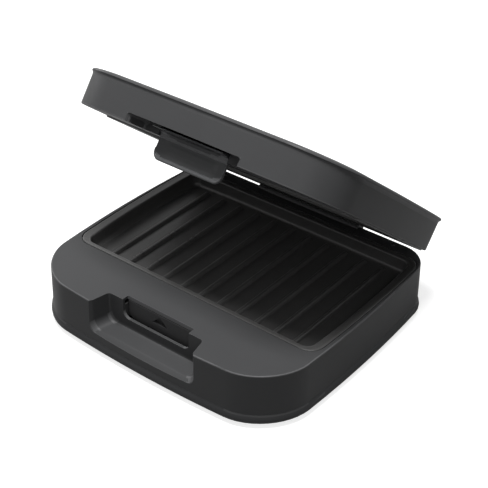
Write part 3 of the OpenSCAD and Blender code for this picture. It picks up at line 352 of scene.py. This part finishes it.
def latch_section(side):
    """The latch's section at a place across it, from -1 at its left end to 1 at its right."""
    x = side * LATCH_HALF_W
    over = max(0.0, abs(x) - (LATCH_HALF_W - LATCH_CORNER))
    low = LATCH_LOW + LATCH_CORNER - math.sqrt(max(0.0, LATCH_CORNER ** 2 - over ** 2))
    lever = [(1.1, 7), (-2.9, 6.1), (-7.5, 5.9), (-12.2, 5.72), (-12.62, 5.55), (-12.8, 5.15),
             (-12.66, 4.8), (-12.2, 4.58), (-8.6, 4.44), (-5, 4.28), (-3.6, 4.0), (-2.4, 3.5),
             (-1.5, 2.8), (-0.9, 1.9), (-0.62, 1), (-0.55, 0.2), (-0.36, -0.3), (-0.02, -0.7)]
    dish, bottom = [], low + DISH_RIM
    for i in range(DISH_STEPS + 1):
        t = i / DISH_STEPS
        deep = (DISH_DEEP * ease(t / DISH_UPPER_EASE) * ease((1 - t) / DISH_LOWER_EASE)
                * ease((LATCH_HALF_W - DISH_MARGIN - abs(x)) / DISH_SIDE_EASE))
        dish.append((deep, DISH_TOP + (bottom - DISH_TOP) * t))
    rim = [(-0.3, low + 2.75), (-0.62, low + 2.2), (-0.7, low + 1.6), (-0.62, low + 0.95),
           (-0.3, low + 0.35), (0.25, low), (1.6, low), (2.2, low + 0.3), (2.4, low + 0.9)]
    eye = [(2.4, 1.2)] + [round_point(EYE_Y, EYE_Z, EYE_R, a) for a in range(-90, 91, 15)]
    points = []
    for y, z in lever + dish + rim + eye:
        reach = LEVER_FLARE * min(1.0, max(0.0, (-y - FLARE_FROM) / FLARE_RUN))
        points.append((side * (LATCH_HALF_W + reach), LATCH_FACE + y, z))
    return points


def latch():
    """The latch: a lever's lip over a dished tongue with a rolled lower rim."""
    sides = [0, 0.14, 0.28, 0.4, 0.5, 0.58, 0.66, 0.73, 0.79, 0.83, 0.87, 0.905, 0.935, 0.96,
             0.98, 0.992, 1.0]
    sides = [-s for s in reversed(sides[1:])] + sides
    piece = loft("latch", [latch_section(s) for s in sides])
    gap = new_block("spring_gap", SPRING_GAP_AT, SPRING_GAP)
    modify(piece, "BOOLEAN", object=gap, operation="DIFFERENCE", solver="EXACT")
    bpy.data.objects.remove(gap)
    soften(piece, 0.45, 3, 50)
    shade(piece, 0.7, 12, 42, weight=50)
    return place(piece, LID)


def hook():
    """The wedge behind the latch that springs into the catch's window."""
    # A three-sided bar of radius 1 lying front to back, whose six corners are then set
    bpy.ops.object.select_all(action="DESELECT")
    bpy.ops.mesh.primitive_cylinder_add(vertices=3, radius=1, depth=2.3 * MM,
                                        rotation=(math.radians(90), 0, 0))
    piece = new_piece("latch_hook")
    for vert in piece.data.vertices:
        back = LATCH_BACK + HOOK_REACH if vert.co.y > 0 else HOOK_ROOT
        if vert.co.z > 0.5:
            vert.co = Vector((0, back, HOOK_TOP)) * MM
        else:
            vert.co = Vector((math.copysign(HOOK_HALF_W, vert.co.x), back, HOOK_LOW)) * MM
    soften(piece, 0.35, 2, 40)
    shade(piece, 0.7, 12, 40)
    return place(piece, LID)


# ------------------------------------------------------------------ effects

def connect(tree, socket, value):
    """Links an input to a socket, or sets it to a fixed value."""
    if isinstance(value, bpy.types.NodeSocket):
        tree.links.new(value, socket)
    else:
        socket.default_value = value


def node(tree, kind, settings=None, **inputs):
    """Adds a node and fills its inputs by name, or by number where a name repeats: i0, i1."""
    made = tree.nodes.new(kind)
    for key, value in (settings or {}).items():
        setattr(made, key, value)
    for label, value in inputs.items():
        numbered = label[0] == "i" and label[1:].isdigit()
        key = int(label[1:]) if numbered else label.replace("_", " ")
        connect(tree, made.inputs[key], value)
    return made


def maths(tree, operation, first, second, clamp=False):
    settings = {"operation": operation, "use_clamp": clamp}
    return node(tree, "ShaderNodeMath", settings, i0=first, i1=second).outputs[0]


def times(tree, first, second):
    return maths(tree, "MULTIPLY", first, second)


def blend_colour(tree, mask, first, second):
    """The first colour where the mask is 0 and the second where it is 1."""
    made = node(tree, "ShaderNodeMix", {"data_type": "RGBA"}, i0=mask, i6=first, i7=second)
    return made.outputs[2]


def noise(tree, **inputs):
    return node(tree, "ShaderNodeTexNoise", **inputs).outputs[0]


def effect(name, settings, results):
    """An empty node group, which takes a place and its settings and gives numbers."""
    tree = bpy.data.node_groups.new(name, "ShaderNodeTree")
    tree.interface.new_socket("Vector", in_out="INPUT", socket_type="NodeSocketVector")
    for label, value in settings.items():
        kind = "NodeSocketVector" if isinstance(value, tuple) else "NodeSocketFloat"
        socket = tree.interface.new_socket(label, in_out="INPUT", socket_type=kind)
        socket.default_value = value
    for label in results:
        tree.interface.new_socket(label, in_out="OUTPUT", socket_type="NodeSocketFloat")
    start = tree.nodes.new("NodeGroupInput")
    end = tree.nodes.new("NodeGroupOutput")
    return tree, start.outputs, end.inputs


def spark_grain():
    """The fine grain that a spark-eroded mould leaves, as a height from 0 to 1."""
    pit_spacing, pit_steepness = 0.6, 3.0
    tree, start, end = effect("Spark grain", {"Grains per metre": 1500.0, "Pits": 0.4}, ["Height"])
    where, grains = start["Vector"], start["Grains per metre"]
    soft = noise(tree, Vector=where, Scale=grains, Detail=3.0, Roughness=0.6)
    cells = node(tree, "ShaderNodeTexVoronoi", {"feature": "SMOOTH_F1"}, Vector=where,
                 Scale=times(tree, grains, pit_spacing), Smoothness=0.5)
    near = maths(tree, "SUBTRACT", 1.0, cells.outputs["Distance"], clamp=True)
    pit = times(tree, maths(tree, "POWER", near, pit_steepness), start["Pits"])
    connect(tree, end["Height"], maths(tree, "SUBTRACT", soft, pit, clamp=True))
    return tree


def handling():
    """Slow changes of polish and tone where a part is wiped and touched."""
    broad_share, fine_share = 0.7, 0.3
    finer, noise_middle, swing_gain = 3.0, 0.5, 4.0
    tree, start, end = effect(
        "Handling", {"Roughness": 0.45, "Spread": 0.08, "Patches per metre": 14.0},
        ["Roughness", "Tone"])
    where, patches = start["Vector"], start["Patches per metre"]
    broad = noise(tree, Vector=where, Scale=patches, Detail=4.0, Roughness=0.55, Distortion=0.4)
    wipes = node(tree, "ShaderNodeMapping", Vector=where, Scale=(1.0, 5.0, 5.0),
                 Rotation=(0.0, 0.0, 0.35))
    fine = noise(tree, Vector=wipes.outputs[0], Scale=times(tree, patches, finer), Detail=3.0,
                 Roughness=0.5)
    mixed = maths(tree, "ADD", times(tree, broad, broad_share), times(tree, fine, fine_share))
    swing = times(tree, maths(tree, "SUBTRACT", mixed, noise_middle),
                  times(tree, start["Spread"], swing_gain))
    connect(tree, end["Roughness"], maths(tree, "ADD", start["Roughness"], swing, clamp=True))
    connect(tree, end["Tone"], mixed)
    return tree


def edge_wear_and_highlight():
    """Edge scuffs and painted highlight: the marked faces, broken up by a noise. The lighter colour there stands
    for scuffing and also for light caught on the edges.
    """
    fine_breakup_share, patch_share = 0.5, 0.7
    tree, start, end = effect("Edge wear and highlight", {"Edge": 0.0, "Amount": 0.6}, ["Mask"])
    where = start["Vector"]
    fine_breakup = noise(tree, Vector=where, Scale=90.0, Detail=5.0, Roughness=0.65)
    patch = noise(tree, Vector=where, Scale=16.0, Detail=2.0)
    both = maths(tree, "ADD", times(tree, fine_breakup, fine_breakup_share), times(tree, patch, patch_share))
    marked = times(tree, start["Edge"], start["Amount"])
    connect(tree, end["Mask"], maths(tree, "MULTIPLY", marked, both, clamp=True))
    return tree


def speckle():
    """Small flakes scattered in a coating."""
    flake_radius = 0.32   # of a cell
    tree, start, end = effect("Flakes", {"Flakes per metre": 1400.0, "Share": 0.12}, ["Mask"])
    cells = node(tree, "ShaderNodeTexVoronoi", Vector=start["Vector"],
                 Scale=start["Flakes per metre"])
    lot = node(tree, "ShaderNodeSeparateColor", Color=cells.outputs["Color"])
    chosen = maths(tree, "LESS_THAN", lot.outputs[0], start["Share"])
    near = maths(tree, "LESS_THAN", cells.outputs["Distance"], flake_radius)
    connect(tree, end["Mask"], times(tree, chosen, near))
    return tree


def drawn_lines():
    """Fine lines drawn along one way of a rolled or turned metal part."""
    tree, start, end = effect("Drawn lines", {"Stretch": (30.0, 2000.0, 2000.0)}, ["Height"])
    scaled = node(tree, "ShaderNodeVectorMath", {"operation": "MULTIPLY"}, i0=start["Vector"],
                  i1=start["Stretch"])
    lines = noise(tree, Vector=scaled.outputs[0], Scale=1.0, Detail=4.0, Roughness=0.6)
    connect(tree, end["Height"], lines)
    return tree


# The edge mask lightens the marked edges: scuffs, and a painted highlight
GRAIN, HANDLED, EDGE_WEAR_AND_HIGHLIGHT = spark_grain(), handling(), edge_wear_and_highlight()
FLAKES, LINES = speckle(), drawn_lines()


def use(tree, group, **inputs):
    """An effect's results, with its settings filled in."""
    return node(tree, "ShaderNodeGroup", {"node_tree": group}, **inputs).outputs


def rgb(r, g=None, b=None):
    """A colour, or a grey if only its first value is given."""
    return (r, r if g is None else g, r if b is None else b, 1.0)


def blank_tree(owner):
    """The node tree of a material or a world, emptied."""
    owner.use_nodes = True
    owner.node_tree.nodes.clear()
    return owner.node_tree


# ------------------------------------------------------------------ finishes

def finish(name, colour, tone, worn_and_lit, roughness=0.45, spread=0.07, specular=0.3, grain=1500.0,
           pits=0.4, bump=0.25, wear_and_highlight_amount=0.6, metallic=0.0, coat=0.0, flakes=0.0, flake_colour=None,
           lines=None, patches=14.0):
    """One finish: grain or drawn lines, wiped polish, uneven tone, and a lighter colour on the marked edges for
    scuffs and a painted highlight.
    """
    grain_height, rubbed_polish = 0.00005, 0.12   # the first in metres
    material = bpy.data.materials.new(name)
    tree = blank_tree(material)
    where = tree.nodes.new("ShaderNodeTexCoord").outputs["Object"]
    edge = node(tree, "ShaderNodeAttribute", {"attribute_name": "edge"}).outputs["Fac"]
    polish = use(tree, HANDLED, Vector=where, Roughness=roughness, Spread=spread,
                 Patches_per_metre=patches)
    wear_and_highlight_mask = use(tree, EDGE_WEAR_AND_HIGHLIGHT, Vector=where, Edge=edge, Amount=wear_and_highlight_amount)[0]
    base = blend_colour(tree, polish["Tone"], colour, tone)
    if flakes:
        spots = use(tree, FLAKES, Vector=where, Share=flakes)[0]
        base = blend_colour(tree, spots, base, flake_colour)
    # Lighter colour on the marked edges: scuffs, and a painted highlight where the edges would catch the light
    base = blend_colour(tree, wear_and_highlight_mask, base, worn_and_lit)
    if lines:
        height = use(tree, LINES, Vector=where, Stretch=lines)[0]
    else:
        height = use(tree, GRAIN, Vector=where, Grains_per_metre=grain, Pits=pits)[0]
    bumped = node(tree, "ShaderNodeBump", Height=height, Strength=bump, Distance=grain_height)
    shiny = maths(tree, "SUBTRACT", polish["Roughness"], times(tree, wear_and_highlight_mask, rubbed_polish),
                  clamp=True)
    shader = node(tree, "ShaderNodeBsdfPrincipled", Base_Color=base, Roughness=shiny,
                  Normal=bumped.outputs[0], Metallic=metallic, Specular_IOR_Level=specular,
                  Coat_Weight=coat, Coat_Roughness=0.2)
    node(tree, "ShaderNodeOutputMaterial", Surface=shader.outputs[0])
    return material


def lens_finish(name, colour, deep):
    """Tinted lens: clear over a coloured body."""
    return finish(name, colour, deep, colour, roughness=0.16, spread=0.03, specular=0.5,
                  grain=400.0, bump=0.05, wear_and_highlight_amount=0.0, coat=0.6)


# The third colour of each finish is painted on its marked edges, as scuffs and as a painted highlight
FINISH = {
    "casing": finish("Casing plastic", rgb(0.049, 0.0495, 0.051), rgb(0.058, 0.0585, 0.06),
                     rgb(0.17, 0.17, 0.174), roughness=0.44, spread=0.05, specular=0.12),
    "cover": finish("Cover plastic", rgb(0.04, 0.0405, 0.042), rgb(0.048, 0.0485, 0.05),
                    rgb(0.11, 0.11, 0.112), roughness=0.42, spread=0.05, specular=0.12,
                    grain=1300.0),
    "insert": finish("Insert plastic", rgb(0.046, 0.046, 0.047), rgb(0.054, 0.054, 0.055),
                     rgb(0.07), roughness=0.5, spread=0.05, specular=0.15),
    "latch": finish("Latch plastic", rgb(0.034, 0.035, 0.037), rgb(0.042, 0.043, 0.045),
                    rgb(0.2, 0.203, 0.21), roughness=0.34, spread=0.06, specular=0.25, bump=0.15,
                    wear_and_highlight_amount=0.9),
    "grill": finish("Non-stick coating", rgb(0.056, 0.0555, 0.055), rgb(0.068, 0.0675, 0.067),
                    rgb(0.12, 0.12, 0.119), roughness=0.33, spread=0.08, specular=0.3,
                    grain=900.0, pits=0.6, bump=0.3, wear_and_highlight_amount=0.3, flakes=0.08,
                    flake_colour=rgb(0.11, 0.109, 0.107)),
    "heater": finish("Oxidised steel tube", rgb(0.19, 0.165, 0.135), rgb(0.11, 0.10, 0.095),
                     rgb(0.3, 0.27, 0.23), roughness=0.45, spread=0.12, specular=0.5,
                     metallic=1.0, grain=700.0, patches=60.0),
    "reflector": finish("Rolled aluminium", rgb(0.62, 0.62, 0.63), rgb(0.5, 0.5, 0.51), rgb(0.78),
                        roughness=0.34, spread=0.08, metallic=1.0, lines=(30.0, 1600.0, 1600.0)),
    "screw": finish("Zinc-plated steel", rgb(0.5, 0.51, 0.52), rgb(0.4, 0.41, 0.42), rgb(0.7),
                    roughness=0.3, spread=0.08, metallic=1.0, lines=(900.0, 900.0, 60.0)),
    "pin": finish("Ground steel", rgb(0.56, 0.565, 0.57), rgb(0.47, 0.475, 0.48), rgb(0.7),
                  roughness=0.24, spread=0.06, metallic=1.0, lines=(2400.0, 60.0, 60.0)),
    "spring": finish("Spring steel", rgb(0.5, 0.5, 0.51), rgb(0.38, 0.38, 0.39), rgb(0.62),
                     roughness=0.3, spread=0.08, metallic=1.0),
    "ceramic": finish("Steatite", rgb(0.68, 0.66, 0.6), rgb(0.58, 0.56, 0.5),
                      rgb(0.8, 0.78, 0.72), roughness=0.42, spread=0.08, specular=0.5,
                      grain=1100.0, bump=0.2),
    "wire": finish("Silicone sleeve", rgb(0.66, 0.64, 0.58), rgb(0.56, 0.54, 0.49),
                   rgb(0.75, 0.73, 0.68), roughness=0.5, spread=0.06, specular=0.4, grain=900.0),
    "rubber": finish("Foot rubber", rgb(0.018), rgb(0.026), rgb(0.05), roughness=0.7, spread=0.08,
                     specular=0.3, grain=900.0, bump=0.4),
    "gland": finish("Gland plastic", rgb(0.024), rgb(0.032), rgb(0.07), roughness=0.48,
                    spread=0.06, specular=0.35),
    "board": finish("Phenolic board", rgb(0.24, 0.16, 0.07), rgb(0.19, 0.125, 0.05),
                    rgb(0.32, 0.22, 0.1), roughness=0.45, spread=0.08, specular=0.4,
                    lines=(160.0, 1400.0, 1400.0)),
    "red_lens": lens_finish("Red lens", rgb(0.45, 0.02, 0.015), rgb(0.3, 0.01, 0.008)),
    "green_lens": lens_finish("Green lens", rgb(0.02, 0.28, 0.06), rgb(0.01, 0.17, 0.035)),
}


def paint(piece, slot):
    piece.data.materials.clear()
    piece.data.materials.append(FINISH[slot])


def dress(piece, slot):
    """Paints a new piece."""
    paint(piece, slot)


# ------------------------------------------------------------------ the toaster

for row in frame["record"]["subparts"]:
    paint(nodes[row["node"]], row["material_slot"])

# Each casing part: its node, its new name, its body, its finish, its edges' rounding and reshaping
SHELLS = [
    ("lower_housing", "base_casing", "base", "casing", 0.4, None),
    ("base_cover", "base_underside", "base", "cover", 0.25, None),
    ("latch_receiver", "catch_insert", "base", "insert", 0.25, None),
    ("lid_housing", "lid_casing", "lid", "casing", 0.35, turn_brow_down),
    ("lid_cover", "lid_top", "lid", "cover", 0.25, None),
]
for source, name, body, slot, rounding, reshape in SHELLS:
    shell = moulding(source, name, rounding, reshape)
    dress(shell, slot)
    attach(shell, body)
    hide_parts(source)

lower_plate = place(grill_plate("lower_plate", LOWER_DEPTH),
                    BASE @ Matrix.Translation((0, 0, LOWER_SEAT * MM)))
dress(lower_plate, "grill")
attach(lower_plate, "base")
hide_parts("lower_grill_plate")
upper_plate = place(grill_plate("upper_plate", UPPER_DEPTH),
                    LID @ Matrix.Translation((0, 0, UPPER_SEAT * MM)) @ FLIP)
dress(upper_plate, "grill")
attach(upper_plate, "lid")
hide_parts("upper_grill_plate")

tongue = latch()
barb = hook()
dress(tongue, "latch")
dress(barb, "latch")
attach(tongue, "latch")
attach(barb, "latch")
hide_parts("latch_clip")


# ------------------------------------------------------------------ studio, in metres

CAMERA_AT = (0.493687, -0.634089, 0.605973)
CAMERA_YAW, CAMERA_PITCH, CAMERA_ROLL = 37.535, -34.172, 0.982
FOCAL_LENGTH, PICTURE_WIDTH = 1215.276, 488   # both in pixels of the picture
SENSOR_WIDTH = 36                             # millimetres

LAMPS_AIM = (0, 0, 0.08)
# Each lamp's place, the length of its side, and its watts
LAMPS = [
    ("Ceiling softbox", (0, -0.15, 1.9), 0.6, 43),
    ("Front softbox", (0, -0.9, 1.6), 0.8, 1.6),
    ("Upper left softbox", (-0.9, -0.4, 1.3), 0.6, 1.0),
    ("Left softbox", (-1.3, 0.1, 0.5), 0.6, 3.2),
    ("Right softbox", (0.9, -0.95, 1.0), 0.5, 3.0),
]
ROOM_LIGHT, BACKGROUND = 0.05, 1.0
FLOOR_SIZE = 8
PAPER_GREY, FLAGGED_GREY, PAPER_GLOW = 0.5, 0.16, 0.78


def aim_camera():
    """Sets the camera where the photograph was taken from."""
    yaw, pitch, roll = (math.radians(a) for a in (CAMERA_YAW, CAMERA_PITCH, CAMERA_ROLL))
    forward = Vector((-math.sin(yaw) * math.cos(pitch), math.cos(yaw) * math.cos(pitch),
                      math.sin(pitch)))
    level = Vector((math.cos(yaw), math.sin(yaw), 0))
    above = level.cross(forward)
    right = level * math.cos(roll) + above * math.sin(roll)
    up = above * math.cos(roll) - level * math.sin(roll)
    data = bpy.data.cameras.new("Camera")
    data.sensor_width = SENSOR_WIDTH
    data.lens = SENSOR_WIDTH * FOCAL_LENGTH / PICTURE_WIDTH
    data.clip_end = 20
    camera = bpy.data.objects.new("Camera", data)
    bpy.context.scene.collection.objects.link(camera)
    turn = Matrix((right, up, -forward)).transposed().to_4x4()
    camera.matrix_world = Matrix.Translation(CAMERA_AT) @ turn
    bpy.context.scene.camera = camera


def softbox(name, at, side, watts):
    """A square lamp that faces the toaster."""
    lamp = bpy.data.lights.new(name, "AREA")
    lamp.shape = "RECTANGLE"
    lamp.size = lamp.size_y = side
    lamp.energy = watts
    holder = bpy.data.objects.new(name, lamp)
    bpy.context.scene.collection.objects.link(holder)
    at = Vector(at)
    turn = (Vector(LAMPS_AIM) - at).to_track_quat("-Z", "Y").to_matrix().to_4x4()
    holder.matrix_world = Matrix.Translation(at) @ turn


def seen_light(tree):
    """1 for the rays that should meet the plain background, 0 for the rest."""
    path = tree.nodes.new("ShaderNodeLightPath")
    some = maths(tree, "MAXIMUM", path.outputs["Is Camera Ray"], path.outputs["Is Glossy Ray"])
    return maths(tree, "MAXIMUM", some, path.outputs["Is Transmission Ray"])


def either(tree, mask, first, second):
    """The first shader where the mask is 0 and the second where it is 1."""
    return node(tree, "ShaderNodeMixShader", Fac=mask, i1=first.outputs[0], i2=second.outputs[0])


def backdrop():
    """White to look at, with a little light of its own."""
    world = bpy.data.worlds.new("Studio")
    bpy.context.scene.world = world
    tree = blank_tree(world)
    dim = node(tree, "ShaderNodeBackground", Color=rgb(1.0), Strength=ROOM_LIGHT)
    white = node(tree, "ShaderNodeBackground", Color=rgb(1.0), Strength=BACKGROUND)
    both = either(tree, seen_light(tree), dim, white)
    node(tree, "ShaderNodeOutputWorld", Surface=both.outputs[0])


def paper_floor():
    """A white floor that keeps the shadow and throws little light up at the walls."""
    bpy.ops.object.select_all(action="DESELECT")
    bpy.ops.mesh.primitive_plane_add(size=FLOOR_SIZE)
    floor = new_piece("floor")
    material = bpy.data.materials.new("Paper sweep")
    tree = blank_tree(material)
    paper = node(tree, "ShaderNodeBsdfDiffuse", Color=rgb(PAPER_GREY))
    flagged = node(tree, "ShaderNodeBsdfDiffuse", Color=rgb(FLAGGED_GREY))
    glow = node(tree, "ShaderNodeEmission", Color=rgb(1.0), Strength=PAPER_GLOW)
    path = tree.nodes.new("ShaderNodeLightPath")
    lit = node(tree, "ShaderNodeAddShader", i0=paper.outputs[0], i1=glow.outputs[0])
    shown = either(tree, path.outputs["Is Camera Ray"], paper, lit)
    kept = either(tree, seen_light(tree), flagged, shown)
    node(tree, "ShaderNodeOutputMaterial", Surface=kept.outputs[0])
    floor.data.materials.append(material)


aim_camera()
backdrop()
for lamp_row in LAMPS:
    softbox(*lamp_row)
paper_floor()
bpy.context.scene.view_settings.view_transform = "Standard"
